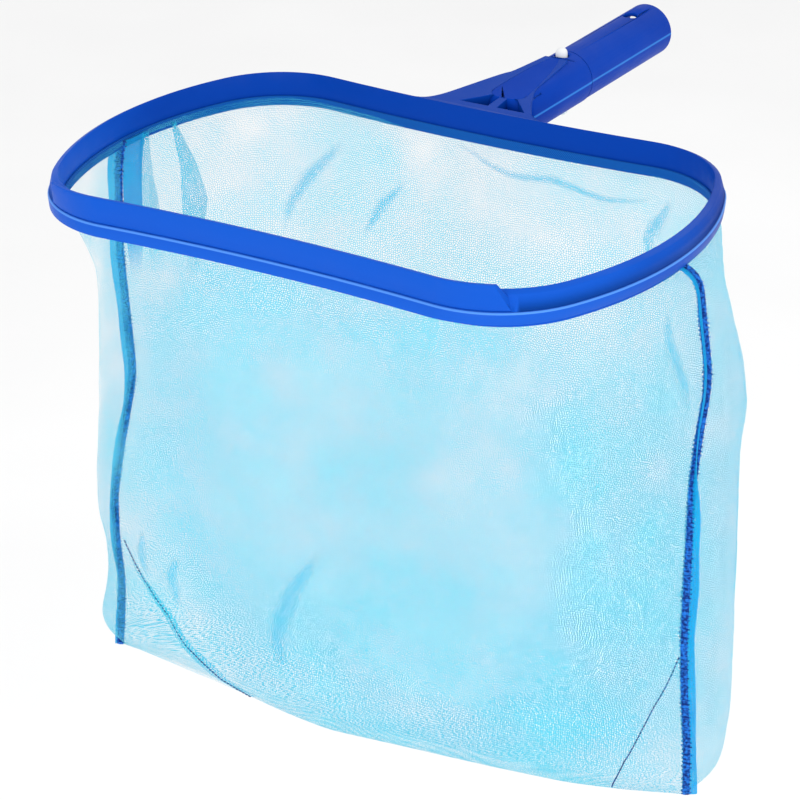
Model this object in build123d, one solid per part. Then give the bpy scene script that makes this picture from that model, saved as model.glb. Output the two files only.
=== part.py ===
from build123d import *
import os

# Leaf skimmer net, in millimetres. The origin is the centre of the handle tube's open end,
# +Y runs out of that end along the pole, +X is to the right and +Z is up.

# Handle tube
TUBE_R = 15.5
TUBE_WALL = 2.2
BORE_R = TUBE_R - TUBE_WALL
TUBE_ROOT = -166.0
STOP_R = TUBE_R + 0.4
STOP_Y = -94.0
BORE_TAPER_Y = -118.0
BORE_END = -154.0
BORE_END_R = 10.3
HOLE_R = 4.2
CLIP_HOLE_Y = -101.5
SPARE_HOLE_Y = -22.5

# Hoop, measured on the outer top edge
HOOP_Y = -286.5
HOOP_Z = 8.0
HALF_W = 177.5
HALF_D = 105.0
CORNER_X = 107.5
CORNER_Y = 51.3
CORNER_R = 58.0
WALL_IN = -3.5
SKIRT_OUT = -1.2
CROWN_Z = HOOP_Z + 1.8
RIDGE_OUT = 3.0
RIDGE_END = 1.8
RIDGE_Z = HOOP_Z - 8.3
SKIRT_Z = HOOP_Z - 18.0

# Clamp ring under the hoop
RING_TOP = RIDGE_Z - 0.3
RING_BOTTOM = HOOP_Z - 15.0
RING_OUT_TOP = 3.7
RING_OUT_BOTTOM = 5.2
RING_END = 1.4
RING_BEAD = 0.6
RING_IN = -0.8

# Scooping lip along the front
LIP_TOP = HOOP_Z + 7.5
LIP_HALF = 135.0
LIP_FOOT = 140.5
LIP_THICK = 2.2
LIP_FLARE = 6.5

# Yoke between the hoop and the tube
WEB_TOP = HOOP_Z + 1.4
WEB_BOTTOM = 0.5
DECK_Y = -181.0
DECK_TIP_Y = -107.0
NECK_BOTTOM = HOOP_Z - 16.0
WINDOW_FLOOR = HOOP_Z - 12.0

# Net bag
MESH_T = 0.8
MESH_TOP = HOOP_Z - 12.5
NECK_Z = HOOP_Z - 21.0
HEM_T = 0.8
WAIST = ((-110.0, 175.0, 92.0, 48.0), (-225.0, 181.0, 62.0, 34.0), (-338.0, 188.0, 7.0, 6.0))
SEAM_W = 4.5
SEAM_T = 1.6
STITCH_W = 1.2

# Spring clip
CLIP_W = 7.0
CLIP_T = 0.8
CLIP_LEG_Z = 9.4
ARM_Z = 11.2
ARM_ROOT_Y = -145.0
ARM_TIP_Y = -97.5
BUTTON_R = 3.4
BUTTON_TOP = 20.2


def hoop_face(offset, z, end=None):
    """Outline of the hoop at height z, grown outwards by offset, and by end at its two ends."""
    shift = 0.0 if end is None else end - offset
    step = (CORNER_X - HALF_W) ** 2 + CORNER_Y**2 - CORNER_R**2
    side_r = step / (2 * (HALF_W - CORNER_X - CORNER_R))
    long_r = (CORNER_X**2 + (CORNER_Y - HALF_D) ** 2 - CORNER_R**2)
    long_r = long_r / (2 * (CORNER_R - HALF_D + CORNER_Y))
    side_c = HALF_W - side_r
    long_c = HALF_D + long_r
    side_dir = Vector(CORNER_X - side_c, CORNER_Y, 0).normalized()
    long_dir = Vector(-CORNER_X, long_c - CORNER_Y, 0).normalized()
    corner = Vector(CORNER_X, CORNER_Y, 0)
    mid_dir = (side_dir + long_dir).normalized()
    grown = CORNER_R + offset
    a = corner + side_dir * grown
    b = corner + mid_dir * grown
    c = corner + long_dir * grown
    right = HALF_W + offset + shift
    top = HALF_D + offset
    edges = []
    signs = ((1, 1), (-1, 1), (-1, -1), (1, -1))
    for i, (sx, sy) in enumerate(signs):
        pa = ((a.X + shift) * sx, a.Y * sy)
        pb = ((b.X + shift) * sx, b.Y * sy)
        pc = ((c.X + shift) * sx, c.Y * sy)
        if i % 2 == 0:
            edges.append(ThreePointArc(pa, pb, pc))
            edges.append(ThreePointArc(pc, (0, top * sy), (-pc[0], pc[1])))
        else:
            edges.append(ThreePointArc(pc, pb, pa))
            edges.append(ThreePointArc(pa, (right * sx, 0), (pa[0], -pa[1])))
    face = make_face(edges)
    return Pos(0, HOOP_Y, z) * face


def stack(sections):
    """Ruled solid through hoop outlines given as (offset, z) or (offset, z, end)."""
    faces = [hoop_face(*section) for section in sections]
    return loft(faces, ruled=True)


def slab(face, z_low, z_high):
    """Upright prism over a flat face drawn at height zero."""
    return Pos(0, 0, z_low) * extrude(face, z_high - z_low, dir=(0, 0, 1))


def make_hoop():
    """Moulded hoop: sloping crown, outer wall and inner skirt."""
    rim = stack([
        (WALL_IN, CROWN_Z),
        (0.0, HOOP_Z),
        (RIDGE_OUT, RIDGE_Z, RIDGE_END),
        (RIDGE_OUT, RING_TOP, RIDGE_END),
    ])
    skirt = stack([(SKIRT_OUT, RIDGE_Z + 1.0), (SKIRT_OUT, SKIRT_Z)])
    mouth = stack([(WALL_IN, CROWN_Z + 1.0), (WALL_IN, SKIRT_Z - 1.0)])
    return rim + skirt - mouth


def make_lip():
    """Scooping lip that flares up and out along the front of the hoop."""
    outer = stack([(LIP_FLARE, LIP_TOP), (RIDGE_OUT + 0.1, RIDGE_Z + 0.4, RIDGE_END + 0.1)])
    inner = stack([(LIP_FLARE - LIP_THICK, LIP_TOP + 0.01), (-0.4, HOOP_Z - 3.0)])
    inner += stack([(-0.4, HOOP_Z - 2.9), (-0.4, RIDGE_Z)])
    window = Plane.XZ * Polygon(
        (-LIP_FOOT, RIDGE_Z),
        (LIP_FOOT, RIDGE_Z),
        (LIP_HALF, LIP_TOP + 1.0),
        (-LIP_HALF, LIP_TOP + 1.0),
        align=None,
    )
    front = Pos(0, HOOP_Y - 60, 0) * extrude(window, 80)
    return (outer - inner) & front


def yoke_outline():
    """Plan of the deck from the hoop's rear wall to the tube, wide on the left side."""
    left = Spline(
        (-62, 101),
        (-40, 106.5),
        (-29.4, 123.6),
        (-16.6, 150.8),
        (-7.5, 179.5),
        tangents=((1, 0.05), (0.25, 1)),
    )
    right = Spline(
        (40, 102),
        (22, 113.5),
        (14.5, 128),
        (7.5, 179.5),
        tangents=((-1, 0.15), (-0.1, 1)),
    )
    tip = Line((7.5, 179.5), (-7.5, 179.5))
    base = Line((-62, 101), (40, 101))
    side = Line((40, 101), (40, 102))
    return make_face([right, tip, left, base, side])


def neck_outline():
    """Plan of the deep shoulder that carries the tube."""
    right = ThreePointArc((40, 101), (22, 113), (13, 140))
    left = ThreePointArc((-40, 101), (-22, 113), (-13, 140))
    tip = Line((13, 140), (-13, 140))
    base = Line((-40, 101), (40, 101))
    return make_face([right, tip, left, base])


def window_outline(side):
    """Plan of one pocket of the yoke."""
    points = [(3.0, 109.5), (2.4, 122.0), (8.5, 122.5), (20.5, 109.5)]
    return make_face(Polyline(*[(side * x, y) for x, y in points], close=True))


def make_deck_space():
    """Everything below the sloping plane of the deck, which meets the tube's top line."""
    rise = (STOP_R - WEB_TOP) / (DECK_TIP_Y - DECK_Y)
    outline = Polyline(
        (DECK_Y - 20, -40),
        (DECK_Y - 20, WEB_TOP),
        (DECK_Y, WEB_TOP),
        (DECK_TIP_Y, STOP_R),
        (20, STOP_R + rise),
        (20, -40),
        close=True,
    )
    face = Plane.YZ * make_face(outline)
    return Pos(-90, 0, 0) * extrude(face, 180)


def make_yoke():
    """Deck and shoulder with two pockets and the rib between them."""
    deck = slab(Pos(0, HOOP_Y) * yoke_outline(), WEB_BOTTOM, TUBE_R + 3)
    neck = slab(Pos(0, HOOP_Y) * neck_outline(), NECK_BOTTOM, WEB_TOP)
    pockets = slab(Pos(0, HOOP_Y) * window_outline(1), WINDOW_FLOOR, TUBE_R + 4)
    pockets += slab(Pos(0, HOOP_Y) * window_outline(-1), WINDOW_FLOOR, TUBE_R + 4)
    return (deck + neck) & make_deck_space(), pockets


def along_y(radius, y_from, y_to):
    """Cylinder on the tube's axis between two stations."""
    length = y_to - y_from
    return Pos(0, (y_from + y_to) / 2, 0) * Rot(90, 0, 0) * Cylinder(radius, length)


def tube_outside():
    """Outside of the handle tube, with the stop for the pole and a domed root."""
    body = along_y(TUBE_R, STOP_Y, 0)
    stop = along_y(STOP_R, TUBE_ROOT, STOP_Y)
    stop = fillet(stop.edges().group_by(Axis.Y)[0], 9.0)
    stop = chamfer(stop.edges().group_by(Axis.Y)[-1], 0.35)
    return (body + stop) & make_deck_space()


def make_frame():
    """Hoop, lip and yoke, with the place for the clamp ring and the tube left free."""
    inside = stack([(WALL_IN, LIP_TOP + 8), (WALL_IN, SKIRT_Z - 8)])
    seat = stack([
        (RING_OUT_TOP + 0.6, RING_TOP),
        (RING_OUT_BOTTOM + 0.6, RING_BOTTOM),
        (RING_OUT_BOTTOM + 0.6, SKIRT_Z - 8),
    ])
    yoke, pockets = make_yoke()
    yoke = yoke - tube_outside() - inside - seat - pockets
    return make_hoop() + make_lip() + yoke


def make_tube():
    """Handle tube with its bore, which narrows under the deck, and two pairs of cross holes."""
    tube = tube_outside()
    tube -= along_y(BORE_R, BORE_TAPER_Y, 1)
    taper = Cone(BORE_R, BORE_END_R, BORE_TAPER_Y - BORE_END)
    tube -= Pos(0, (BORE_TAPER_Y + BORE_END) / 2, 0) * Rot(90, 0, 0) * taper
    for y in (CLIP_HOLE_Y, SPARE_HOLE_Y):
        tube -= Pos(0, y, 0) * Cylinder(HOLE_R, 4 * TUBE_R)
    return tube


def make_ring():
    """Clamp ring that closes the hoop from below and traps the hem."""
    outer = stack([
        (RING_OUT_TOP - RING_BEAD, RING_TOP, RIDGE_END + 0.1),
        (RING_OUT_TOP, RING_TOP - RING_BEAD, RIDGE_END + 0.7),
        (RING_OUT_BOTTOM, RING_BOTTOM, RING_END),
    ])
    inner = stack([(RING_IN, RING_TOP + 1), (RING_IN, RING_BOTTOM - 1)])
    return outer - inner


def bag_sections(shrink):
    """Bag outlines from the hem down to the folded bottom."""
    faces = [hoop_face(WALL_IN - HEM_T - 0.4 - shrink, NECK_Z)]
    for z, half_w, half_d, corner in WAIST:
        plan = RectangleRounded(
            2 * (half_w - shrink),
            2 * (half_d - shrink),
            max(corner - shrink, 1.0),
        )
        faces.append(Pos(0, HOOP_Y, z) * plan)
    return faces


def bag_side(z):
    """Half-width of the bag in its middle plane at height z."""
    line = [(NECK_Z, HALF_W + WALL_IN - HEM_T - 0.4)]
    line += [(level[0], level[1]) for level in WAIST]
    for (z1, w1), (z2, w2) in zip(line, line[1:]):
        if z2 <= z <= z1:
            return w1 + (w2 - w1) * (z - z1) / (z2 - z1)
    return line[-1][1]


def make_bag():
    """Open-topped net bag, drawn as one thin folded sheet with its collar."""
    outer = loft(bag_sections(0.0), ruled=True)
    inner_faces = bag_sections(MESH_T)
    inner = loft(inner_faces[:-1], ruled=True)
    low_z, low_w, low_d, low_r = WAIST[-1]
    floor = Pos(0, HOOP_Y, low_z + 2.5) * RectangleRounded(
        2 * (low_w - MESH_T),
        2 * (low_d - MESH_T),
        low_r - MESH_T,
    )
    inner += loft([inner_faces[-2], floor], ruled=True)
    collar_out = WALL_IN - HEM_T - 0.4
    collar = stack([(collar_out, MESH_TOP), (collar_out, NECK_Z)])
    collar -= stack([(collar_out - MESH_T, MESH_TOP + 1), (collar_out - MESH_T, NECK_Z - 1)])
    return outer - inner + collar


def make_hem():
    """Woven hem tape between the hoop's inner wall and the net."""
    out = WALL_IN - 0.2
    band = stack([(out, MESH_TOP), (out, SKIRT_Z)])
    band -= stack([(out - HEM_T, MESH_TOP + 1), (out - HEM_T, SKIRT_Z - 1)])
    return band


def make_seam(side):
    """Overlocked side seam running down the bag's edge."""
    levels = [NECK_Z - 1.0] + [level[0] for level in WAIST]
    near = [(side * (bag_side(z) + 0.05), z) for z in levels]
    far = [(side * (bag_side(z) + SEAM_T), z) for z in reversed(levels)]
    face = Plane.XZ * make_face(Polyline(*near, *far, close=True))
    return Pos(0, HOOP_Y + SEAM_W / 2, 0) * extrude(face, SEAM_W)


def make_corner_stitch(side):
    """Slanting row of stitches across a bottom corner of the bag."""
    high = WAIST[1]
    low = WAIST[2]
    top = Vector(side * (bag_side(-262) - 22), 0, -262)
    end = Vector(side * 128, 0, -331)
    points = []
    for p in (top, end):
        part = (p.Z - high[0]) / (low[0] - high[0])
        depth = high[2] + (low[2] - high[2]) * part
        points.append(Vector(p.X, HOOP_Y - depth, p.Z))
    along = (points[1] - points[0]).normalized()
    slope = Vector(0, high[2] - low[2], low[0] - high[0]).normalized()
    normal = Vector(0, -1, 0) - slope * Vector(0, -1, 0).dot(slope)
    normal = normal.normalized()
    middle = (points[0] + points[1]) * 0.5 + normal * (STITCH_W / 2 + 0.03)
    length = (points[1] - points[0]).length
    plane = Plane(origin=middle, x_dir=along, z_dir=normal)
    return plane * Box(length, STITCH_W, STITCH_W)


def make_clip_bend():
    """Closed end of the spring clip, seated on the bottom of the bore."""
    back = BORE_END
    z = CLIP_LEG_Z
    outer = Polyline(
        (back, -z + 3),
        (back, z - 3),
        (back + 3, z),
        (ARM_ROOT_Y - 0.3, z),
        (ARM_ROOT_Y - 0.3, z - CLIP_T),
        (back + 3.2, z - CLIP_T),
        (back + CLIP_T, z - 3.3),
        (back + CLIP_T, -z + 3.3),
        (back + 3.2, -z + CLIP_T),
        (ARM_ROOT_Y - 0.3, -z + CLIP_T),
        (ARM_ROOT_Y - 0.3, -z),
        (back + 3, -z),
        close=True,
    )
    face = Plane.YZ * make_face(outer)
    return Pos(-CLIP_W / 2, 0, 0) * extrude(face, CLIP_W)


def make_clip_arm(side):
    """One leaf of the spring clip, from the bend out to past its button."""
    z1 = CLIP_LEG_Z
    z2 = ARM_Z + CLIP_T
    knee = ARM_ROOT_Y + 30
    line = Polyline(
        (ARM_ROOT_Y, z1),
        (knee, z2),
        (ARM_TIP_Y, z2),
        (ARM_TIP_Y, z2 - CLIP_T),
        (knee, z2 - CLIP_T),
        (ARM_ROOT_Y, z1 - CLIP_T),
        close=True,
    )
    face = Plane.YZ * make_face(line)
    arm = Pos(-CLIP_W / 2, 0, 0) * extrude(face, CLIP_W)
    return arm if side > 0 else mirror(arm, about=Plane.XY)


def make_button(side):
    """Domed locking button riveted to the clip's leaf."""
    foot = ARM_Z + CLIP_T
    height = BUTTON_TOP - foot
    button = Cylinder(BUTTON_R, height, align=(Align.CENTER, Align.CENTER, Align.MIN))
    button = fillet(button.edges().group_by(Axis.Z)[-1], BUTTON_R * 0.92)
    button = Pos(0, CLIP_HOLE_Y, foot) * button
    return button if side > 0 else mirror(button, about=Plane.XY)


def write(name, shape):
    """Write one piece as its own STEP file."""
    shape.label = name
    export_step(shape, os.path.join("parts", name + ".step"))


os.makedirs("parts", exist_ok=True)
write("hoop_frame", make_frame())
write("handle_tube", make_tube())
write("clamp_ring", make_ring())
write("net_bag", make_bag())
write("hem_tape", make_hem())
write("side_seam_left", make_seam(-1))
write("side_seam_right", make_seam(1))
write("corner_stitch_left", make_corner_stitch(-1))
write("corner_stitch_right", make_corner_stitch(1))
write("clip_bend", make_clip_bend())
write("clip_arm_upper", make_clip_arm(1))
write("clip_arm_lower", make_clip_arm(-1))
write("clip_button_upper", make_button(1))
write("clip_button_lower", make_button(-1))
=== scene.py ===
import math

import bmesh
import bpy
import numpy as np
from mathutils import Matrix, Vector


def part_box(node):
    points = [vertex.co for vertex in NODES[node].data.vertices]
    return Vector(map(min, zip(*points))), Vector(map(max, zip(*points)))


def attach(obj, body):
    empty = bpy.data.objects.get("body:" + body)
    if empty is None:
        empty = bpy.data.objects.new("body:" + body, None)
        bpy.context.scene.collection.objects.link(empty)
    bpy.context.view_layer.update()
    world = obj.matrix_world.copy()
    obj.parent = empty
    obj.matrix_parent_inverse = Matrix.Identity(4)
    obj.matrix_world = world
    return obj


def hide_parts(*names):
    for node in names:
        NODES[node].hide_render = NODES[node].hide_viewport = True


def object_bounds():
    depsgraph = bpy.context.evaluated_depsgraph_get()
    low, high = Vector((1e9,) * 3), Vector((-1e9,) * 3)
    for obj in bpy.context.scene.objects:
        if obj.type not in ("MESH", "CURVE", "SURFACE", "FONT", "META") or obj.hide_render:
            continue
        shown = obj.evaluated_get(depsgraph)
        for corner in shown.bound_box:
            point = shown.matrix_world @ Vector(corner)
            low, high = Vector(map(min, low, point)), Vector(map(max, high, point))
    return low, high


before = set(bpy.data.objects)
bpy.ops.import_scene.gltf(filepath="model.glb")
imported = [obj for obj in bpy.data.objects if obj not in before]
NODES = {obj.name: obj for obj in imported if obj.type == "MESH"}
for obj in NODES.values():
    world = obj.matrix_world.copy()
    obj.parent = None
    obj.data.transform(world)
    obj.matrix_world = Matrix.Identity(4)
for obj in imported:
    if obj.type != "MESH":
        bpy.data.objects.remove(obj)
CAD_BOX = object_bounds()
MM = 0.001

# ---------------------------------------------------------------- places read from the frame

BODY = "net"
RIM_OVER_HEM = 0.0125
ring_low, ring_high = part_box("clamp_ring")
HOOP = (ring_low + ring_high) / 2
RIM_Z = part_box("hem_tape")[1].z + RIM_OVER_HEM

# ---------------------------------------------------------------- camera

AIM = Vector((HOOP.x - 0.0015, HOOP.y + 0.0115, RIM_Z - 0.1371))
AZIMUTH = math.radians(33.7)
ELEVATION = math.radians(25.79)
ROLL = math.radians(-1.72)
DISTANCE = 1.777
LENS = 146.2


def make_camera():
    """Camera to the right of the hoop's front, looking down into the mouth."""
    data = bpy.data.cameras.new("camera")
    camera = bpy.data.objects.new("camera", data)
    bpy.context.collection.objects.link(camera)
    level = Vector((math.cos(AZIMUTH), math.sin(AZIMUTH), 0))
    back = Vector((
        math.sin(AZIMUTH) * math.cos(ELEVATION),
        -math.cos(AZIMUTH) * math.cos(ELEVATION),
        math.sin(ELEVATION),
    ))
    rise = back.cross(level)
    right = level * math.cos(ROLL) + rise * math.sin(ROLL)
    up = rise * math.cos(ROLL) - level * math.sin(ROLL)
    place = Matrix.Translation(AIM + back * DISTANCE)
    camera.matrix_world = place @ Matrix((right, up, back)).transposed().to_4x4()
    data.lens = LENS
    data.sensor_width = 36.0
    data.clip_start = 0.05
    data.clip_end = 50.0
    bpy.context.scene.camera = camera


# ---------------------------------------------------------------- mesh helpers


def add_mesh(name, points, faces, smooth=True):
    """New mesh object from points and faces."""
    mesh = bpy.data.meshes.new(name)
    mesh.from_pydata([tuple(p) for p in points], [], faces)
    mesh.update()
    obj = bpy.data.objects.new(name, mesh)
    bpy.context.collection.objects.link(obj)
    if smooth:
        mesh.polygons.foreach_set("use_smooth", [True] * len(mesh.polygons))
    return obj


def tube_mesh(name, path, radii, sides, up=None):
    """Tube of elliptical section (half-width, half-height) along a path, with its ends shut."""
    path = np.asarray(path, float)
    count = len(path)
    tangent = np.gradient(path, axis=0)
    tangent /= np.linalg.norm(tangent, axis=1)[:, None] + 1e-12
    if up is None:
        up = np.tile([0.0, 0.0, 1.0], (count, 1))
    side = np.cross(tangent, up)
    side /= np.linalg.norm(side, axis=1)[:, None] + 1e-12
    rise = np.cross(side, tangent)
    angles = np.linspace(0, 2 * np.pi, sides, endpoint=False)
    points = []
    for i in range(count):
        for a in angles:
            points.append(
                path[i]
                + side[i] * radii[0] * math.cos(a)
                + rise[i] * radii[1] * math.sin(a)
            )
    faces = []
    for i in range(count - 1):
        near, far = i * sides, (i + 1) * sides
        for k in range(sides):
            m = (k + 1) % sides
            faces.append((near + k, near + m, far + m, far + k))
    faces.append(tuple(range(sides))[::-1])
    faces.append(tuple((count - 1) * sides + k for k in range(sides)))
    return add_mesh(name, points, faces)


# ---------------------------------------------------------------- materials


def new_material(name):
    """Empty node material with its output."""
    material = bpy.data.materials.new(name)
    material.use_nodes = True
    nodes = material.node_tree.nodes
    nodes.clear()
    output = nodes.new("ShaderNodeOutputMaterial")
    return material, nodes, material.node_tree.links, output


def value_math(nodes, links, operation, a, b=None, c=None):
    """Math node on sockets or numbers."""
    node = nodes.new("ShaderNodeMath")
    node.operation = operation
    for i, x in enumerate((a, b, c)):
        if x is None:
            continue
        if isinstance(x, (int, float)):
            node.inputs[i].default_value = x
        else:
            links.new(x, node.inputs[i])
    return node.outputs[0]


def ramp(nodes, links, source, stops):
    """Colour ramp through (place, colour) stops."""
    node = nodes.new("ShaderNodeValToRGB")
    elements = node.color_ramp.elements
    while len(elements) < len(stops):
        elements.new(0.5)
    for element, (place, colour) in zip(elements, stops):
        element.position = place
        element.color = (*colour, 1)
    links.new(source, node.inputs["Fac"])
    return node.outputs["Color"]


def noise(nodes, links, scale, detail=3.0, stretch=None):
    """Noise texture in object space."""
    texture = nodes.new("ShaderNodeTexNoise")
    texture.inputs["Scale"].default_value = scale
    texture.inputs["Detail"].default_value = detail
    place = nodes.new("ShaderNodeTexCoord")
    if stretch is None:
        links.new(place.outputs["Object"], texture.inputs["Vector"])
    else:
        mapping = nodes.new("ShaderNodeMapping")
        mapping.inputs["Scale"].default_value = stretch
        links.new(place.outputs["Object"], mapping.inputs["Vector"])
        links.new(mapping.outputs["Vector"], texture.inputs["Vector"])
    return texture.outputs["Fac"]


def parts_of(nodes, links, vector):
    """The X, Y and Z of a vector."""
    split = nodes.new("ShaderNodeSeparateXYZ")
    links.new(vector, split.inputs["Vector"])
    return split.outputs


def object_place(nodes, links):
    """The X, Y and Z of the place on the object."""
    return parts_of(nodes, links, nodes.new("ShaderNodeTexCoord").outputs["Object"])


def uv_map(nodes, name):
    """A UV map of the object, by name."""
    coords = nodes.new("ShaderNodeUVMap")
    coords.uv_map = name
    return coords.outputs["UV"]


def ranged(nodes, links, source, start, end, low=0.0, high=1.0, kind="SMOOTHSTEP"):
    """Value going from low to high while the source goes from start to end."""
    node = nodes.new("ShaderNodeMapRange")
    node.interpolation_type = kind
    limits = {"From Min": start, "From Max": end, "To Min": low, "To Max": high}
    for socket, number in limits.items():
        node.inputs[socket].default_value = number
    links.new(source, node.inputs["Value"])
    return node.outputs["Result"]


def raise_surface(nodes, links, shader, height, strength, distance):
    """Bump on a shader from a height."""
    bump = nodes.new("ShaderNodeBump")
    bump.inputs["Strength"].default_value = strength
    bump.inputs["Distance"].default_value = distance
    links.new(height, bump.inputs["Height"])
    links.new(bump.outputs["Normal"], shader.inputs["Normal"])


def painted_highlight_line(nodes, links, colour, line, level, half):
    """Painted highlight: a pale line round the part at one height, where light would catch the
    tube's mould seam and the clamp ring's top edge.
    """
    place = object_place(nodes, links)
    height = value_math(nodes, links, "SUBTRACT", place["Z"], level)
    height = value_math(nodes, links, "ABSOLUTE", height)
    highlight_mask = ranged(nodes, links, height, half * 1.6, half * 0.4)
    mix = nodes.new("ShaderNodeMix")
    mix.data_type = "RGBA"
    links.new(highlight_mask, mix.inputs["Factor"])
    links.new(colour, mix.inputs["A"])
    mix.inputs["B"].default_value = (*line, 1)
    return mix.outputs["Result"]


def front_share(nodes, links):
    """0 at the back of the hoop, 1 at its front; it sets how much painted light the plastic
    gets.
    """
    reach = 0.09
    place = object_place(nodes, links)
    return ranged(nodes, links, place["Y"], HOOP.y + reach, HOOP.y - reach, kind="LINEAR")


def plastic(name, dark, mid, light, gloss=0.05, rough=0.34, highlight_line=None, painted_front_light=False):
    """Injection-moulded plastic with a fine grain, streaks from the moulding and rubbed patches;
    optionally a painted highlight line, and painted light on the hoop's front fading to painted
    shade at its back.
    """
    material, nodes, links, output = new_material(name)
    shader = nodes.new("ShaderNodeBsdfPrincipled")
    shader.inputs["IOR"].default_value = 1.46
    shader.inputs["Specular IOR Level"].default_value = gloss
    flow_and_painted_light = noise(nodes, links, 9.0, 4.0, stretch=(1.0, 1.0, 3.0))
    # Painted light and shade: the colour is pushed to the light end at the hoop's front and to
    # the dark end at its back, as if lit from the front.
    if painted_front_light:
        even = value_math(nodes, links, "MULTIPLY_ADD", flow_and_painted_light, 0.5, -0.05)
        flow_and_painted_light = value_math(nodes, links, "MULTIPLY_ADD", front_share(nodes, links), 0.6, even)
    colour = ramp(nodes, links, flow_and_painted_light, [(0.32, dark), (0.5, mid), (0.72, light)])
    # Painted highlight: an optional pale line at one height.
    if highlight_line:
        colour = painted_highlight_line(nodes, links, colour, *highlight_line)
    links.new(colour, shader.inputs["Base Color"])
    wear = noise(nodes, links, 55.0, 5.0)
    roughness = ranged(nodes, links, wear, 0.3, 0.75, rough, rough + 0.12, "LINEAR")
    links.new(roughness, shader.inputs["Roughness"])
    grain = noise(nodes, links, 1400.0, 2.0)
    waves = noise(nodes, links, 60.0, 2.0)
    height = value_math(nodes, links, "MULTIPLY_ADD", waves, 4.0, grain)
    raise_surface(nodes, links, shader, height, 0.12, 0.0002)
    links.new(shader.outputs["BSDF"], output.inputs["Surface"])
    return material


def soft_edge(nodes, links):
    """1 along the middle of a fold, falling to 0 at its edges and its ends."""
    place = parts_of(nodes, links, uv_map(nodes, "fold"))
    side = value_math(nodes, links, "MULTIPLY_ADD", place["X"], 2.0, -1.0)
    near = value_math(nodes, links, "ABSOLUTE", side)
    fade = ranged(nodes, links, near, 1.0, 0.0)
    along = value_math(nodes, links, "PINGPONG", place["Y"], 0.5)
    ends = ranged(nodes, links, along, 0.0, 0.3)
    return value_math(nodes, links, "MULTIPLY", fade, ends)


def tail(nodes, links):
    """1 along a fold, falling to 0 over the last part of its length."""
    place = parts_of(nodes, links, uv_map(nodes, "fold"))
    return ranged(nodes, links, place["Y"], 1.0, 0.6)


# Uneven cover of the net: (metres round it from its left seam, half-width, change), and the
# metres from the hem over which it closes up
COVER_STRIPS = ((0.072, 0.06, -0.07), (0.44, 0.06, -0.025), (0.56, 0.07, 0.03))
COVER_FALL = 0.2


def worn_strip(nodes, links, coords, edge):
    """Net drawn more open near the hem and the front corners, and closer at the right end."""
    place = parts_of(nodes, links, coords)
    for middle, half, change in COVER_STRIPS:
        off = value_math(nodes, links, "SUBTRACT", place["X"], middle)
        off = value_math(nodes, links, "ABSOLUTE", off)
        near = ranged(nodes, links, off, half, half * 0.4)
        edge = value_math(nodes, links, "MULTIPLY_ADD", near, change, edge)
    low = ranged(nodes, links, place["Y"], 0.0, COVER_FALL, -0.028, 0.004)
    return value_math(nodes, links, "ADD", edge, low)


def net_cloth(name, thread, shade, cover, cells=770.0, body=0.0, faded=False, main=False):
    """Fine see-through knitted mesh: threads round small uneven holes."""
    material, nodes, links, output = new_material(name)
    coords = uv_map(nodes, "weave")
    knit = nodes.new("ShaderNodeTexVoronoi")
    knit.voronoi_dimensions = "2D"
    knit.feature = "DISTANCE_TO_EDGE"
    knit.inputs["Scale"].default_value = cells
    knit.inputs["Randomness"].default_value = 0.75
    links.new(coords, knit.inputs["Vector"])
    broad = noise(nodes, links, 13.0, 2.0)
    close = noise(nodes, links, 46.0, 4.0)
    patchy = value_math(nodes, links, "MULTIPLY_ADD", broad, 0.22, cover - 0.17)
    edge = value_math(nodes, links, "MULTIPLY_ADD", close, 0.12, patchy)
    if main:
        edge = worn_strip(nodes, links, coords, edge)
    depth = value_math(nodes, links, "SUBTRACT", edge, knit.outputs["Distance"])
    threads = ranged(nodes, links, depth, -0.05, 0.05)
    shaded = value_math(nodes, links, "MULTIPLY_ADD", broad, 0.6, -0.05)
    shaded = value_math(nodes, links, "MULTIPLY_ADD", close, 0.5, shaded)
    colour = ramp(nodes, links, shaded, [(0.38, shade), (0.62, thread)])
    solid = nodes.new("ShaderNodeBsdfPrincipled")
    solid.inputs["Roughness"].default_value = 0.55
    solid.inputs["Specular IOR Level"].default_value = 0.12
    solid.inputs["Sheen Weight"].default_value = 0.05
    links.new(colour, solid.inputs["Base Color"])
    raise_surface(nodes, links, solid, threads, 0.5, 0.0003)
    glow = nodes.new("ShaderNodeBsdfTranslucent")
    links.new(colour, glow.inputs["Color"])
    cloth = nodes.new("ShaderNodeMixShader")
    cloth.inputs["Fac"].default_value = 0.4
    links.new(solid.outputs["BSDF"], cloth.inputs[1])
    links.new(glow.outputs["BSDF"], cloth.inputs[2])
    hole = nodes.new("ShaderNodeBsdfTransparent")
    mix = nodes.new("ShaderNodeMixShader")
    fill = value_math(nodes, links, "MULTIPLY_ADD", threads, 1 - body, body)
    if faded:
        fill = value_math(nodes, links, "MULTIPLY", fill, soft_edge(nodes, links))
    elif not main:
        fill = value_math(nodes, links, "MULTIPLY", fill, tail(nodes, links))
    links.new(fill, mix.inputs["Fac"])
    links.new(hole.outputs["BSDF"], mix.inputs[1])
    links.new(cloth.outputs["Shader"], mix.inputs[2])
    links.new(mix.outputs["Shader"], output.inputs["Surface"])
    return material


def thread_material(name, dark, light, scale=620.0):
    """Twisted polyester sewing thread."""
    material, nodes, links, output = new_material(name)
    shader = nodes.new("ShaderNodeBsdfPrincipled")
    shader.inputs["Roughness"].default_value = 0.65
    shader.inputs["Specular IOR Level"].default_value = 0.15
    shader.inputs["Sheen Weight"].default_value = 0.04
    fuzz = noise(nodes, links, scale, 3.0)
    colour = ramp(nodes, links, fuzz, [(0.42, dark), (0.6, light)])
    links.new(colour, shader.inputs["Base Color"])
    raise_surface(nodes, links, shader, fuzz, 0.4, 0.0002)
    links.new(shader.outputs["BSDF"], output.inputs["Surface"])
    return material


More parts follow.
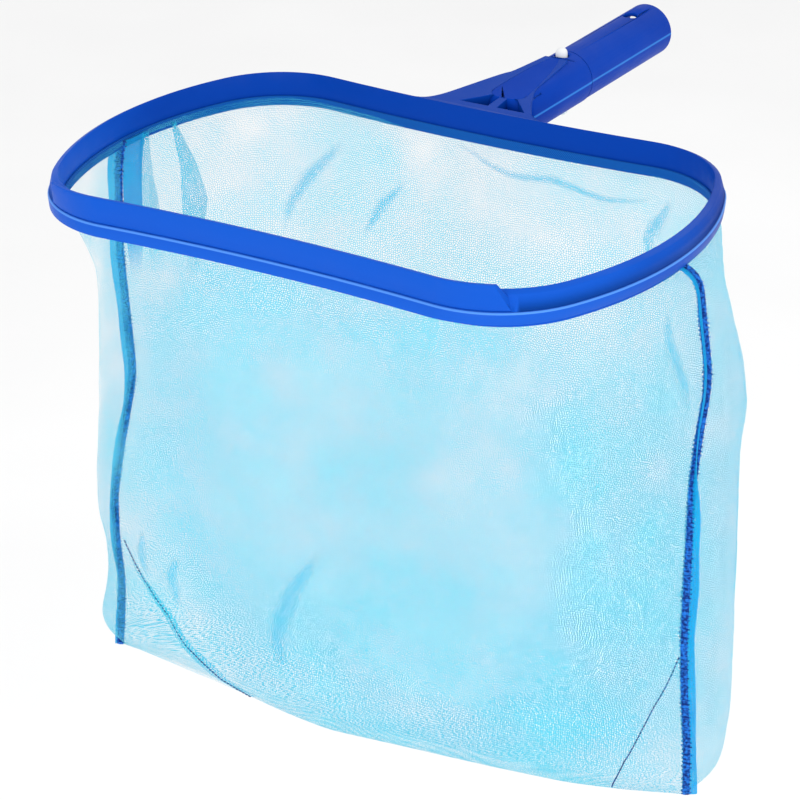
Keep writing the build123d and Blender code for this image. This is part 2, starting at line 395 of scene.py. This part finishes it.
def tape_material(name, dark, light):
    """Woven tape with fine ribs."""
    material, nodes, links, output = new_material(name)
    shader = nodes.new("ShaderNodeBsdfPrincipled")
    shader.inputs["Roughness"].default_value = 0.75
    shader.inputs["Specular IOR Level"].default_value = 0.1
    shader.inputs["Sheen Weight"].default_value = 0.02
    ribs = nodes.new("ShaderNodeTexWave")
    ribs.bands_direction = "DIAGONAL"
    ribs.inputs["Scale"].default_value = 420.0
    ribs.inputs["Distortion"].default_value = 1.0
    place = nodes.new("ShaderNodeTexCoord")
    links.new(place.outputs["Object"], ribs.inputs["Vector"])
    colour = ramp(nodes, links, ribs.outputs["Fac"], [(0.25, dark), (0.75, light)])
    links.new(colour, shader.inputs["Base Color"])
    raise_surface(nodes, links, shader, ribs.outputs["Fac"], 0.6, 0.0003)
    links.new(shader.outputs["BSDF"], output.inputs["Surface"])
    return material


def steel_material(name):
    """Drawn stainless strip with lengthwise scratches."""
    material, nodes, links, output = new_material(name)
    shader = nodes.new("ShaderNodeBsdfPrincipled")
    shader.inputs["Metallic"].default_value = 1.0
    streaks = noise(nodes, links, 90.0, 6.0, stretch=(30.0, 1.0, 30.0))
    colour = ramp(
        nodes, links, streaks, [(0.3, (0.42, 0.43, 0.44)), (0.7, (0.68, 0.68, 0.69))]
    )
    links.new(colour, shader.inputs["Base Color"])
    roughness = ranged(nodes, links, streaks, 0.0, 1.0, 0.22, 0.42, "LINEAR")
    links.new(roughness, shader.inputs["Roughness"])
    links.new(shader.outputs["BSDF"], output.inputs["Surface"])
    return material


def soften(obj, width):
    """Round the sharp edges of a hard part a little."""
    weld = obj.modifiers.new("weld", "WELD")
    weld.merge_threshold = 0.00001
    bevel = obj.modifiers.new("edges", "BEVEL")
    bevel.width = width
    bevel.segments = 2
    bevel.limit_method = "ANGLE"
    bevel.angle_limit = math.radians(32)
    bevel.use_clamp_overlap = False
    bevel.harden_normals = True


def set_material(obj, material):
    """Use one material for the whole object."""
    obj.data.materials.clear()
    obj.data.materials.append(material)


# ---------------------------------------------------------------- the bag

AROUND = 240
DOWN = 88
HALF = AROUND // 2
BODY_HOLD = 0.004
HEM_OFFSET = -0.0041
HEM_DROP = 0.0135
SLACK_ACROSS = 1.06
SLACK_DOWN = 1.012
RIPPLE = 0.015
FULL_DEPTH = 0.1041  # distance to the front or back at which a row's half-depth is reached

# Shape of the hanging bag. These rows were fitted by measurement, point by point: they aren't
# worked out from the driving dimensions.
# Half-width at each end: (part of the way down, millimetres)
LEFT_END = (
    (0, 172.3), (0.05, 176), (0.2, 179), (0.34, 177), (0.43, 175.5), (0.49, 180),
    (0.58, 188), (0.69, 196), (0.78, 197), (0.86, 195), (0.93, 197), (1, 200),
)
RIGHT_END = (
    (0, 172.3), (0.015, 179), (0.05, 182), (0.1, 183), (0.19, 186), (0.24, 186), (0.31, 183),
    (0.41, 180), (0.58, 179), (0.7, 179), (0.82, 181.5), (0.9, 183), (1, 183),
)
# How far the right end leans back
RIGHT_BACK = ((0, 0), (0.03, 10), (0.2, 12), (0.4, 8), (0.6, 5), (0.8, 0), (1, 0))
# Half-depth to the front and to the back, at the left end, the middle and the right end
FRONT_LEFT = (
    (0, 104), (0.06, 84), (0.12, 68), (0.21, 60), (0.32, 62), (0.44, 68), (0.53, 58),
    (0.63, 47), (0.71, 39), (0.81, 30), (0.91, 29), (0.965, 20), (1, 0),
)
FRONT_MIDDLE = (
    (0, 104), (0.1, 102), (0.21, 96), (0.44, 79), (0.68, 56), (0.86, 34), (0.95, 17), (1, 0),
)
FRONT_RIGHT = (
    (0, 104), (0.1, 98), (0.21, 92), (0.44, 76), (0.68, 58), (0.86, 40), (0.95, 22), (1, 0),
)
BACK_LEFT = (
    (0, 104), (0.1, 90), (0.21, 80), (0.44, 72), (0.68, 52), (0.86, 38), (0.95, 22), (1, 0),
)
BACK_MIDDLE = (
    (0, 104), (0.1, 102), (0.21, 97), (0.44, 82), (0.68, 62), (0.86, 40), (0.95, 22), (1, 0),
)
BACK_RIGHT = (
    (0, 104), (0.04, 82), (0.1, 80), (0.2, 86), (0.31, 91), (0.42, 95), (0.6, 92), (0.75, 86),
    (0.87, 72), (0.95, 48), (1, 0),
)
# How far the net stands out beside each end's seam
BULGE_LEFT = (
    (0, 0), (0.08, -6), (0.15, -9), (0.26, 0), (0.4, 9), (0.57, 13), (0.66, 13), (0.74, 5),
    (0.8, 9), (0.86, 20), (0.92, 30), (0.97, 20), (1, 0),
)
BULGE_RIGHT = (
    (0, 0), (0.05, 0), (0.12, 0), (0.2, 5), (0.27, 18), (0.33, 26), (0.44, 24), (0.6, 30),
    (0.8, 33), (0.92, 35), (0.97, 36), (1, 0),
)
# Depth of the folded bottom below the rim: (part across, millimetres)
BOTTOM = (
    (-1, 343), (-0.8, 344), (-0.6, 349), (-0.4, 355), (-0.25, 357), (0, 352), (0.3, 347),
    (0.6, 341), (0.8, 334), (1, 325),
)


def curve(rows, places):
    """Smooth curve close to (place, millimetres) rows, in metres."""
    knots = np.array(rows, float)
    grid = np.linspace(knots[0, 0], knots[-1, 0], 401)
    values = np.interp(grid, knots[:, 0], knots[:, 1])
    for _ in range(3):
        padded = np.concatenate([[values[0]] * 6, values, [values[-1]] * 6])
        blurred = np.convolve(padded, np.ones(13) / 13, "same")[6:-6]
        edge = np.minimum(np.arange(401), np.arange(401)[::-1]) / 12.0
        keep = np.clip(1 - edge, 0, 1)
        values = values * keep + blurred * (1 - keep)
    return np.interp(places, grid, values) * MM


# The hoop's outer top edge: centre and radius of its corner arcs, half-width and half-depth
CORNER_X = 0.1075
CORNER_Y = 0.0513
CORNER_R = 0.058
RIM_W = 0.1775
RIM_D = 0.105


def arc_points(centre, radius, start, end, count):
    """Points along an arc, angles in radians."""
    angles = np.linspace(start, end, count)
    return np.column_stack([
        centre[0] + radius * np.cos(angles),
        centre[1] + radius * np.sin(angles),
    ])


def hoop_line(offset):
    """Closed outline of the hoop grown by an offset, from its left end round by the front."""
    grown = CORNER_R + offset
    side_r = ((CORNER_X - RIM_W) ** 2 + CORNER_Y**2 - CORNER_R**2) / (
        2 * (RIM_W - CORNER_X - CORNER_R)
    )
    long_r = (CORNER_X**2 + (CORNER_Y - RIM_D) ** 2 - CORNER_R**2) / (
        2 * (CORNER_R - RIM_D + CORNER_Y)
    )
    side_c = RIM_W - side_r
    long_c = RIM_D + long_r
    turn_side = math.atan2(CORNER_Y, CORNER_X - side_c)
    turn_long = math.atan2(long_c - CORNER_Y, -CORNER_X)
    side = arc_points((side_c, 0), side_r + offset, 0, turn_side, 60)
    corner = arc_points((CORNER_X, CORNER_Y), grown, turn_side, turn_long, 160)
    over = turn_long - math.pi
    reach = long_r - offset
    long = arc_points((0, long_c), reach, over, -math.pi / 2, 160)
    quarter = np.vstack([side[:-1], corner[:-1], long])
    left_front = quarter * (-1, -1)
    right_front = (quarter * (1, -1))[::-1]
    right_rear = quarter
    left_rear = (quarter * (-1, 1))[::-1]
    line = np.vstack([left_front, right_front[1:], right_rear[1:], left_rear[1:]])
    return line + (HOOP.x, HOOP.y)


def hem_ring(count):
    """Even points round the hoop's inside where the net hangs, and the length round it."""
    line = hoop_line(HEM_OFFSET)
    step = np.linalg.norm(np.diff(line, axis=0), axis=1)
    run = np.concatenate([[0], np.cumsum(step)])
    places = np.linspace(0, run[-1], count, endpoint=False)
    ring = np.column_stack([np.interp(places, run, line[:, i]) for i in (0, 1)])
    return ring, run[-1]


def blend(left, middle, right, x):
    """Value across the bag from its left end by the middle to its right end."""
    near_left = np.clip(-x, 0, 1) ** 2
    near_right = np.clip(x, 0, 1) ** 2
    return middle + (left - middle) * near_left + (right - middle) * near_right


def waves(x, z, seed):
    """Gentle uneven waves in the cloth."""
    rng = np.random.default_rng(seed)
    total = np.zeros_like(x)
    for _ in range(14):
        across = rng.uniform(20, 95)
        down = rng.uniform(-18, 18)
        phase = rng.uniform(0, 2 * math.pi)
        total += np.sin(x * across + z * down + phase) * rng.uniform(0.3, 1.0)
    return total / 14


def bag_shape():
    """Hanging start shape of the net, row by row from the hem to the folded bottom."""
    ring, girth = hem_ring(AROUND)
    xn = (ring[:, 0] - HOOP.x) / (RIM_W + HEM_OFFSET)
    yn = (ring[:, 1] - HOOP.y) / FULL_DEPTH
    t = np.linspace(0, 1, DOWN + 1)[:, None]
    x_part = xn[None, :]
    y_part = yn[None, :]
    front = blend(curve(FRONT_LEFT, t), curve(FRONT_MIDDLE, t), curve(FRONT_RIGHT, t), x_part)
    back = blend(curve(BACK_LEFT, t), curve(BACK_MIDDLE, t), curve(BACK_RIGHT, t), x_part)
    depth = np.where(y_part < 0, front, back)
    width = np.where(x_part < 0, curve(LEFT_END, t), curve(RIGHT_END, t))
    corner = np.abs(x_part) ** 3 * np.abs(y_part) ** 0.7
    bulge = np.where(x_part < 0, -1 * (y_part < 0), 1 * (y_part > 0)) * corner
    bulge = bulge * np.where(x_part < 0, curve(BULGE_LEFT, t), curve(BULGE_RIGHT, t))
    x = HOOP.x + x_part * width + bulge
    y = HOOP.y + y_part * depth + np.clip(x_part, 0, 1) * curve(RIGHT_BACK, t)
    low = curve(BOTTOM, x_part) - HEM_DROP
    z = RIM_Z - HEM_DROP - t * low
    ripple = waves(x, z, 4) * np.minimum(1, t * 6) * np.minimum(1, (1 - t) * 8) * RIPPLE
    y = y + ripple * np.where(y_part < 0, -1, 1) * np.sqrt(np.clip(1 - x_part**2, 0, 1))
    return np.stack([x, y, z], axis=2), girth


def grid_index():
    """Vertex number at each row and column; the two halves share the bottom fold."""
    index = np.arange((DOWN + 1) * AROUND).reshape(DOWN + 1, AROUND)
    for i in range(HALF + 1, AROUND):
        index[DOWN, i] = index[DOWN, AROUND - i]
    return index


def bag_faces(index):
    """Quads round the bag."""
    faces = []
    for j in range(DOWN):
        for i in range(AROUND):
            k = (i + 1) % AROUND
            faces.append((index[j, i], index[j + 1, i], index[j + 1, k], index[j, k]))
    return [tuple(int(v) for v in face) for face in faces]


def add_uv(obj, name, flat):
    """UV map from a value at each vertex; the weave's is in metres along the cut cloth."""
    layer = obj.data.uv_layers.new(name=name)
    for loop in obj.data.loops:
        layer.data[loop.index].uv = flat[loop.vertex_index]


def pull(obj):
    """How firmly each part of the net keeps its place while it settles."""
    groups = obj.vertex_groups
    pins = groups.new(name="pins")
    for j in range(DOWN + 1):
        t = j / DOWN
        for i in range(AROUND):
            seam = min(i, AROUND - i, abs(i - HALF))
            weight = BODY_HOLD
            if seam <= 1:
                weight = 0.6
            if j >= DOWN - 1:
                weight = max(weight, 0.3)
            if j <= 2:
                weight = 1.0
            pins.add([j * AROUND + i], weight, "REPLACE")


def simulate(obj, rest_points):
    """Let the net settle under gravity, cut a little larger than the space it hangs in."""
    obj.shape_key_add(name="Basis")
    rest = obj.shape_key_add(name="rest")
    rest.data.foreach_set("co", rest_points.astype(np.float32).ravel())
    pull(obj)
    cloth = obj.modifiers.new("cloth", "CLOTH")
    settings = cloth.settings
    settings.vertex_group_mass = "pins"
    settings.rest_shape_key = rest
    settings.pin_stiffness = 0.5
    settings.quality = 6
    settings.mass = 0.06 / len(obj.data.vertices)
    settings.tension_stiffness = 14
    settings.compression_stiffness = 10
    settings.shear_stiffness = 4
    settings.bending_stiffness = 0.05
    settings.tension_damping = 5
    settings.compression_damping = 5
    settings.shear_damping = 4
    settings.bending_damping = 0.4
    settings.air_damping = 2.0
    cloth.collision_settings.use_collision = False
    cloth.collision_settings.use_self_collision = False
    scene = bpy.context.scene
    frames = 40
    cloth.point_cache.frame_start = 1
    cloth.point_cache.frame_end = frames
    for f in range(1, frames + 1):
        scene.frame_set(f)
    graph = bpy.context.evaluated_depsgraph_get()
    settled = obj.evaluated_get(graph)
    mesh = settled.to_mesh()
    points = np.zeros(len(mesh.vertices) * 3)
    mesh.vertices.foreach_get("co", points)
    settled.to_mesh_clear()
    obj.modifiers.clear()
    obj.shape_key_clear()
    obj.data.vertices.foreach_set("co", points)
    obj.data.update()
    scene.frame_set(1)
    return points.reshape(-1, 3)


def make_bag(material):
    """The net itself, and its shape as rows of points."""
    shape, girth = bag_shape()
    index = grid_index()
    count = (DOWN + 1) * AROUND
    points = shape.reshape(-1, 3)
    obj = add_mesh("net_mesh", points, bag_faces(index))
    across = np.linalg.norm(np.diff(shape, axis=1, append=shape[:, :1]), axis=2)
    run = np.cumsum(across, axis=1) - across
    drop = np.linalg.norm(np.diff(shape, axis=0), axis=2)
    fall = np.vstack([np.zeros((1, AROUND)), np.cumsum(drop, axis=0)])
    flat = np.column_stack([run.ravel(), fall.ravel()])
    add_uv(obj, "weave", flat)
    rest = (points - np.array(HOOP)) * (SLACK_ACROSS, SLACK_ACROSS, SLACK_DOWN)
    settled = simulate(obj, rest + np.array(HOOP))
    for v in range(DOWN * AROUND + HALF + 1, count):
        settled[v] = settled[index.ravel()[v]]
    tidy = bmesh.new()
    tidy.from_mesh(obj.data)
    bmesh.ops.delete(tidy, geom=[v for v in tidy.verts if not v.link_faces], context="VERTS")
    tidy.to_mesh(obj.data)
    tidy.free()
    set_material(obj, material)
    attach(obj, BODY)
    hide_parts("net_bag")
    return obj, settled.reshape(DOWN + 1, AROUND, 3), girth


def at(points, around, down):
    """Point of the net at a fraction round it and a fraction down it."""
    a = (around % 1.0) * AROUND
    d = min(max(down, 0.0), 1.0) * DOWN
    i, j = int(a), min(int(d), DOWN - 1)
    fa, fd = a - i, d - j
    k = (i + 1) % AROUND
    return (
        points[j, i] * (1 - fa) * (1 - fd)
        + points[j, k] * fa * (1 - fd)
        + points[j + 1, i] * (1 - fa) * fd
        + points[j + 1, k] * fa * fd
    )


def smooth_path(path, spacing):
    """Path resampled at an even spacing or a little more."""
    path = np.asarray(path)
    step = np.linalg.norm(np.diff(path, axis=0), axis=1)
    run = np.concatenate([[0], np.cumsum(step)])
    places = np.linspace(0, run[-1], max(int(run[-1] / spacing), 2))
    return np.column_stack([np.interp(places, run, path[:, i]) for i in range(3)])


SEAM_STEP = 0.002
SEAM_OUT = 0.0012
SEAM_HALF = 0.0021
SEAM_THICK = 0.0008
LOOP_PITCH = 0.0026
LOOP_THREAD = 0.00034
LOOP_STEPS = 12
ALLOWANCE = 0.0044
FLAP_STRIPS = 5
FLAP_CURL = 0.0008


def turned(side, t):
    """Direction the seam's raw edge lies in, from the hem (0) to the bottom (1)."""
    if side < 0:
        angle = math.radians(214 + 8 * math.sin(t * 9))
    else:
        over = min(max((t - 0.30) / 0.25, 0), 1)
        angle = math.radians(-78 + 112 * over * over * (3 - 2 * over))
    return np.array([math.cos(angle), math.sin(angle), 0.0])


def make_loops(name, core_path, flat, thin, thread):
    """Overlock thread wound round the seam's edge in uneven loops."""
    turns = np.linalg.norm(np.diff(core_path, axis=0), axis=1).sum() / LOOP_PITCH
    t = np.linspace(0, 1, int(turns * LOOP_STEPS))
    places = t * (len(core_path) - 1)
    steps = range(len(core_path))
    base = np.column_stack([np.interp(places, steps, core_path[:, i]) for i in range(3)])
    angle = t * turns * 2 * math.pi
    rng = np.random.default_rng(7)
    count = int(turns) + 2
    ragged = np.interp(t * turns, np.arange(count), rng.uniform(0.8, 1.3, count))
    loops = base + np.outer(np.cos(angle) * (SEAM_HALF + 0.0002) * ragged, flat)
    loops += np.outer(np.sin(angle) * (SEAM_THICK + 0.0003), thin)
    wrap = tube_mesh(name + "_loops", loops, (LOOP_THREAD, LOOP_THREAD), 5)
    set_material(wrap, thread)
    return wrap


def make_allowance(name, core_path, flat, side, cloth):
    """Raw edges of the two layers, left standing beside the seam."""
    count = len(core_path)
    points, uvs, faces = [], [], []
    widths = (1, 1.4) if side > 0 else (1, 0.45)
    inset = 0.6 if side < 0 else -0.2
    for i in range(count):
        way = turned(side, i / (count - 1))
        wave = 0.0007 * math.sin(i * 0.21) + 0.0006 * math.sin(i * 0.067 + 1.3)
        taper = float(np.interp(i / (count - 1), (0.35, 0.5), widths))
        start = core_path[i] + flat * (SEAM_HALF * inset)
        for k in range(FLAP_STRIPS + 1):
            f = k / FLAP_STRIPS
            out = (ALLOWANCE * taper + wave * 0.6) * f
            curl = np.array([side * FLAP_CURL * math.sin(f * 3), 0, 0])
            points.append(start + way * out + curl)
            uvs.append((k * ALLOWANCE / FLAP_STRIPS, i * SEAM_STEP))
    for i in range(count - 1):
        for k in range(FLAP_STRIPS):
            a = i * (FLAP_STRIPS + 1) + k
            b = a + FLAP_STRIPS + 1
            faces.append((a, a + 1, b + 1, b))
    flap = add_mesh(name + "_allowance", points, faces)
    add_uv(flap, "weave", uvs)
    set_material(flap, cloth)
    return flap


def make_seam(name, points, around, side, thread, cloth):
    """Overlocked seam: a flat corded edge wrapped in loops, with its doubled allowance."""
    path = smooth_path([at(points, around, j / DOWN) for j in range(DOWN + 1)], SEAM_STEP)
    flat = np.array([side * 0.85, side * 0.53, 0.0])
    thin = np.array([-flat[1], flat[0], 0.0])
    core_path = path + flat * SEAM_OUT
    up = np.tile(thin, (len(path), 1))
    core = tube_mesh(name, core_path, (SEAM_HALF, SEAM_THICK), 10, up)
    set_material(core, thread)
    wrap = make_loops(name, core_path, flat, thin, thread)
    flap = make_allowance(name, core_path, flat, side, cloth)
    return core, wrap, flap


# Rough size of the net, which turns parts round and down it into metres
NET_ROUND = 0.95
NET_DEEP = 0.34
FOLD_ROWS = 40
FOLD_STRIPS = 6
FOLD_CLEAR = 0.0006


def make_fold(name, points, path, width, lift, material):
    """Narrow overlapping fold of the net; a positive lift stands it outside the bag."""
    knots = np.linspace(0, 1, len(path))
    f = np.linspace(0, 1, FOLD_ROWS + 1)
    around = np.interp(f, knots, [p[0] for p in path])
    down = np.interp(f, knots, [p[1] for p in path])
    for line in (around, down):
        for _ in range(4):
            line[1:-1] = (line[:-2] + line[1:-1] * 2 + line[2:]) / 4
    go = np.column_stack([np.gradient(around) * NET_ROUND, np.gradient(down) * NET_DEEP])
    go /= np.linalg.norm(go, axis=1)[:, None]
    fold_points, uvs, spans, faces = [], [], [], []
    for i in range(FOLD_ROWS + 1):
        half = np.interp(f[i], (0, 0.5, 1), width) / 2
        for k in range(FOLD_STRIPS + 1):
            s = 2 * k / FOLD_STRIPS - 1
            a = around[i] - go[i, 1] * s * half / NET_ROUND
            d = down[i] + go[i, 0] * s * half / NET_DEEP
            d = min(max(d, 0.0), 0.995)
            place = at(points, a, d)
            out = Vector((place[0] - HOOP.x, (place[1] - HOOP.y) * 2, 0)).normalized()
            rise = math.copysign(FOLD_CLEAR, lift) + lift * (1 - s * s)
            fold_points.append(place + np.array(out) * rise)
            uvs.append((a * NET_ROUND, d * NET_DEEP))
            spans.append((k / FOLD_STRIPS, f[i]))
    for i in range(FOLD_ROWS):
        for k in range(FOLD_STRIPS):
            a = i * (FOLD_STRIPS + 1) + k
            faces.append((a, a + 1, a + FOLD_STRIPS + 2, a + FOLD_STRIPS + 1))
    fold = add_mesh(name, fold_points, faces)
    add_uv(fold, "weave", uvs)
    add_uv(fold, "fold", spans)
    set_material(fold, material)
    return fold


STITCH_PITCH = 0.0026
STITCH_THREAD = (0.00042, 0.00036)
STITCH_ARCH = 0.0003
STITCH_CLEAR = 0.0006


def make_stitches(name, points, places, thread):
    """Slanting row of separate stitches through both layers."""
    knots = np.linspace(0, 1, len(places))
    path = []
    for f in np.linspace(0, 1, 61):
        around = np.interp(f, knots, [p[0] for p in places])
        down = np.interp(f, knots, [p[1] for p in places])
        path.append(at(points, around, down))
    path = smooth_path(path, 0.0004)
    path[:, 1] -= STITCH_CLEAR
    length = np.linalg.norm(np.diff(path, axis=0), axis=1).sum()
    stitch = max(int(round(len(path) * STITCH_PITCH / length)), 4)
    points_all, faces_all = [], []
    for i in range(0, len(path) - stitch, stitch):
        piece = path[i : i + stitch - 1].copy()
        f = np.linspace(0, math.pi, len(piece))
        piece[:, 1] -= np.sin(f) * STITCH_ARCH
        part = tube_mesh("part", piece, STITCH_THREAD, 6)
        base = len(points_all)
        points_all += [tuple(v.co) for v in part.data.vertices]
        faces_all += [tuple(base + v for v in p.vertices) for p in part.data.polygons]
        bpy.data.objects.remove(part)
    obj = add_mesh(name, points_all, faces_all)
    set_material(obj, thread)
    return obj


# Stitched lines over the bottom corners: (part round, part down). These and the folds' paths
# were fitted by measurement too.
STITCHED = {
    "left": ((0.1083, 0.693), (0.1167, 0.75), (0.1292, 0.818), (0.1375, 0.864), (0.151, 0.93),
             (0.162, 0.985)),
    "right": ((0.4958, 0.727), (0.4542, 0.795), (0.4125, 0.898), (0.3875, 0.989)),
}

# Folds of the net: path of (part round, part down), widths at its start, middle and end in
# metres, lift (positive outside), and the cloth it shows
FOLDS = {
    "fold_left_inner": (
        ((0.9905, 0.0), (0.990, 0.08), (0.988, 0.18), (0.988, 0.27)),
        (0.017, 0.017, 0.010), -0.0012, "double",
    ),
    "fold_left_bright": (
        ((0.982, 0.0), (0.977, 0.09), (0.969, 0.18), (0.966, 0.27)),
        (0.006, 0.014, 0.014), -0.002, "fold",
    ),
    "fold_leaf": (
        ((0.960, 0.0), (0.9425, 0.09), (0.934, 0.17), (0.934, 0.24), (0.939, 0.32)),
        (0.002, 0.019, 0.006), -0.003, "fold",
    ),
    "fold_rear": (
        ((0.771, 0.023), (0.763, 0.02), (0.746, 0.045), (0.729, 0.057), (0.708, 0.047),
         (0.692, 0.057), (0.675, 0.068), (0.654, 0.057), (0.646, 0.045)),
        (0.003, 0.008, 0.003), -0.001, "soft",
    ),
    "fold_rear_left": (
        ((0.842, 0.05), (0.854, 0.091), (0.867, 0.136), (0.875, 0.182), (0.878, 0.24)),
        (0.006, 0.013, 0.005), -0.0015, "soft",
    ),
    "fold_rear_low": (
        ((0.80, 0.10), (0.815, 0.15), (0.825, 0.21)), (0.004, 0.010, 0.004), -0.0015, "soft",
    ),
    "fold_right_inner": (
        ((0.633, 0.034), (0.642, 0.08), (0.650, 0.114), (0.650, 0.17)),
        (0.005, 0.012, 0.005), -0.0015, "soft",
    ),
    "fold_left_front": (
        ((0.162, 0.985), (0.151, 0.93), (0.1375, 0.864), (0.1292, 0.818), (0.1167, 0.75),
         (0.112, 0.72)),
        (0.010, 0.007, 0.002), 0.0015, "fold",
    ),
    "fold_left_low": (
        ((0.132, 0.62), (0.125, 0.69), (0.122, 0.75)), (0.004, 0.010, 0.005), 0.001, "soft",
    ),
    "fold_left_next": (
        ((0.152, 0.65), (0.142, 0.72), (0.140, 0.80)), (0.004, 0.010, 0.005), 0.001, "soft",
    ),
    "fold_front_middle": (
        ((0.25, 0.52), (0.225, 0.63), (0.205, 0.76), (0.20, 0.86)),
        (0.006, 0.016, 0.008), 0.001, "soft",
    ),
    "fold_front_right": (
        ((0.470, 0.045), (0.468, 0.11), (0.476, 0.19), (0.484, 0.25)),
        (0.006, 0.013, 0.006), 0.001, "soft",
    ),
}


# ---------------------------------------------------------------- light and floor


def make_world():
    """Even pale surroundings."""
    world = bpy.data.worlds.new("studio")
    world.use_nodes = True
    back = world.node_tree.nodes["Background"]
    back.inputs["Color"].default_value = (1.0, 1.0, 1.0, 1)
    back.inputs["Strength"].default_value = 0.95
    bpy.context.scene.world = world


def area_light(name, place, target, size, power):
    """Soft square lamp aimed at a point."""
    data = bpy.data.lights.new(name, "AREA")
    data.size = size
    data.energy = power
    lamp = bpy.data.objects.new(name, data)
    bpy.context.collection.objects.link(lamp)
    lamp.location = place
    lamp.rotation_mode = "QUATERNION"
    lamp.rotation_quaternion = (Vector(target) - Vector(place)).to_track_quat("-Z", "Y")


def make_floor(material_name, z):
    """Wide pale floor."""
    size = 12.0
    obj = add_mesh(
        "floor",
        [(-size, -size, z), (size, -size, z), (size, size, z), (-size, size, z)],
        [(0, 1, 2, 3)],
        smooth=False,
    )
    material, nodes, links, output = new_material(material_name)
    shader = nodes.new("ShaderNodeBsdfPrincipled")
    shader.inputs["Roughness"].default_value = 0.9
    shader.inputs["Specular IOR Level"].default_value = 0.1
    speck = noise(nodes, links, 3.0, 2.0)
    colour = ramp(nodes, links, speck, [(0.3, (0.9, 0.9, 0.9)), (0.7, (0.93, 0.93, 0.93))])
    links.new(colour, shader.inputs["Base Color"])
    links.new(shader.outputs["BSDF"], output.inputs["Surface"])
    set_material(obj, material)


# ---------------------------------------------------------------- build

bpy.context.scene.view_settings.view_transform = "Standard"

make_camera()
make_world()
make_floor("pale_floor", CAD_BOX[0].z - 0.5)
area_light("key", (0.5, -2.3, 0.5), AIM, 1.2, 17)
area_light("fill", (2.2, -0.9, 0.3), AIM, 1.2, 10)
area_light("rim", (0.2, 1.6, 1.4), AIM, 1.0, 8)

# Height of the painted highlight line along the clamp ring's top edge.
ring_highlight_z = ring_high.z - 0.0005
# The hoop and the clamp ring have painted light on the front of the hoop and painted shade
# towards its back.
frame_plastic = plastic(
    "blue_plastic", (0.001, 0.046, 0.35), (0.002, 0.064, 0.43), (0.005, 0.086, 0.53),
    0.06, painted_front_light=True,
)
ring_plastic = plastic(
    "blue_plastic_ring", (0.001, 0.048, 0.37), (0.003, 0.070, 0.46), (0.006, 0.094, 0.55),
    0.12, highlight_line=((0.08, 0.27, 0.78), ring_highlight_z, 0.0005), painted_front_light=True,
)
# The tube's pale line at one height is a painted highlight along its mould seam.
tube_plastic = plastic(
    "blue_plastic_tube", (0.0006, 0.036, 0.34), (0.0008, 0.043, 0.38), (0.001, 0.05, 0.42),
    0.03, 0.4, ((0.03, 0.20, 0.66), 0.0, 0.0006),
)
# The main net's thread colour is partly the net's own cyan and partly painted sheen: its whitish
# tint stands in for highlights on the threads.
net = net_cloth("net_weave", (0.13, 0.68, 0.85), (0.045, 0.56, 0.79), 0.125, main=True)
cloths = {
    "fold": net_cloth("net_folded", (0.05, 0.62, 0.80), (0.02, 0.52, 0.76), 0.17),
    "soft": net_cloth("net_soft_fold", (0.06, 0.62, 0.84), (0.02, 0.52, 0.80), 0.13, faded=True),
    "double": net_cloth(
        "net_doubled", (0.005, 0.43, 0.80), (0.002, 0.34, 0.74), 0.26, 900.0, 0.7
    ),
}
royal = thread_material("royal_thread", (0.001, 0.03, 0.21), (0.012, 0.17, 0.64))
navy = thread_material("navy_thread", (0.002, 0.03, 0.14), (0.005, 0.08, 0.32))
tape = tape_material("hem_weave", (0.001, 0.05, 0.31), (0.004, 0.13, 0.46))
steel = steel_material("clip_steel")
white = plastic(
    "white_plastic", (0.72, 0.73, 0.73), (0.78, 0.79, 0.79), (0.84, 0.84, 0.84), 0.4, 0.4
)

for node, material, round_over in (
    ("hoop_frame", frame_plastic, 0.0004),
    ("clamp_ring", ring_plastic, 0.0003),
    ("handle_tube", tube_plastic, 0.0004),
):
    set_material(NODES[node], material)
    soften(NODES[node], round_over)
set_material(NODES["hem_tape"], tape)
for node in ("clip_bend", "clip_arm_upper", "clip_arm_lower"):
    set_material(NODES[node], steel)
for node in ("clip_button_upper", "clip_button_lower"):
    set_material(NODES[node], white)

bag, bag_net, girth = make_bag(net)
going = []
for side, word, around in ((-1, "left", 0.0), (1, "right", 0.5)):
    parts = make_seam("seam_" + word, bag_net, around, side, royal, cloths["double"])
    for part in parts:
        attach(part, BODY)
    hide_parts("side_seam_" + word)
    going += parts
    row = make_stitches("stitches_" + word, bag_net, STITCHED[word], navy)
    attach(row, BODY)
    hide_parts("corner_stitch_" + word)
    going.append(row)
for name, (path, width, lift, cloth) in FOLDS.items():
    fold = make_fold(name, bag_net, path, width, lift, cloths[cloth])
    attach(fold, BODY)
    going.append(fold)
